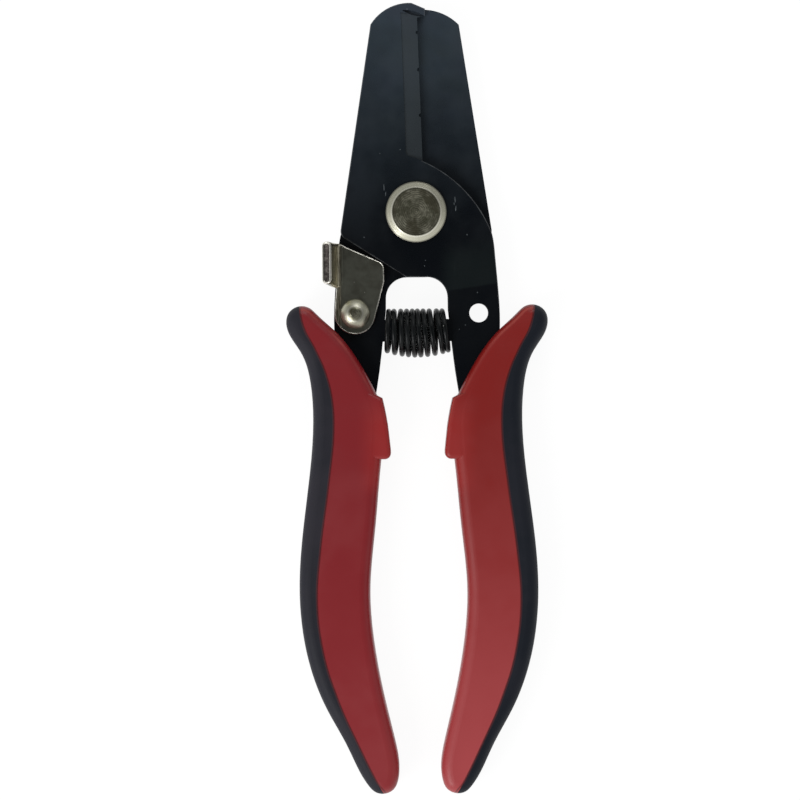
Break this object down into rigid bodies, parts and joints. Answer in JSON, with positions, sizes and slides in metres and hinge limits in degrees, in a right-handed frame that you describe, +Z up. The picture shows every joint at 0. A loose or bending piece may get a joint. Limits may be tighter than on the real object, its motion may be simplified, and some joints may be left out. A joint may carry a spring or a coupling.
{
  "type": "wire stripper",
  "caption": "Plier-type wire stripper with flat riveted steel jaws, a lock catch with thumb tab, a coil return spring and curved two-tone handle grips",
  "frame": {"origin": "bottom centre of the bounding box, with the tool lying on the backs of its grips; the pivot's axis stands on X = 0, 39.5 mm towards the jaws", "axes": "+Y along the tool from the handles to the jaws, +Z up out of the front face, +X to the right seen from the front"},
  "size_m": [0.0556, 0.168, 0.0118],
  "materials": {
    "black_oxide_steel": "flat-ground steel with a blue-black oxide, half gloss",
    "nickel_plate": "dull nickel plate over turned and stamped steel, rims worn bright",
    "black_spring_wire": "black lacquered round spring wire, soft gloss",
    "red_grip": "hard red moulding, smooth with a soft sheen",
    "black_grip": "soft charcoal-black moulding, satin"
  },
  "bodies": {
    "back_lever": {"back_plate": "black_oxide_steel", "pivot_rivet": "nickel_plate", "pivot_collar": "nickel_plate", "catch_rivet": "nickel_plate", "return_spring": "black_spring_wire", "left_grip_body": "red_grip", "left_grip_edge": "black_grip"},
    "front_lever": {"front_plate": "black_oxide_steel", "right_grip_body": "red_grip", "right_grip_edge": "black_grip"},
    "catch": {"lock_catch": "nickel_plate"}
  },
  "joints": [
    {"name": "pivot", "type": "hinge", "parent": "back_lever", "child": "front_lever", "pos_m": [0, 0.0395, 0.0055], "axis": [0, 0, 1], "range_deg": [0, 20], "deforming": ["return_spring"]},
    {"name": "catch_swing", "type": "hinge", "parent": "back_lever", "child": "catch", "pos_m": [-0.01315, 0.01795, 0.0062], "axis": [0, 0, 1], "range_deg": [0, 41]}
  ],
  "couplings": [
    {"joint": "catch_swing", "follows": "pivot", "ratio": 2.05}
  ]
}
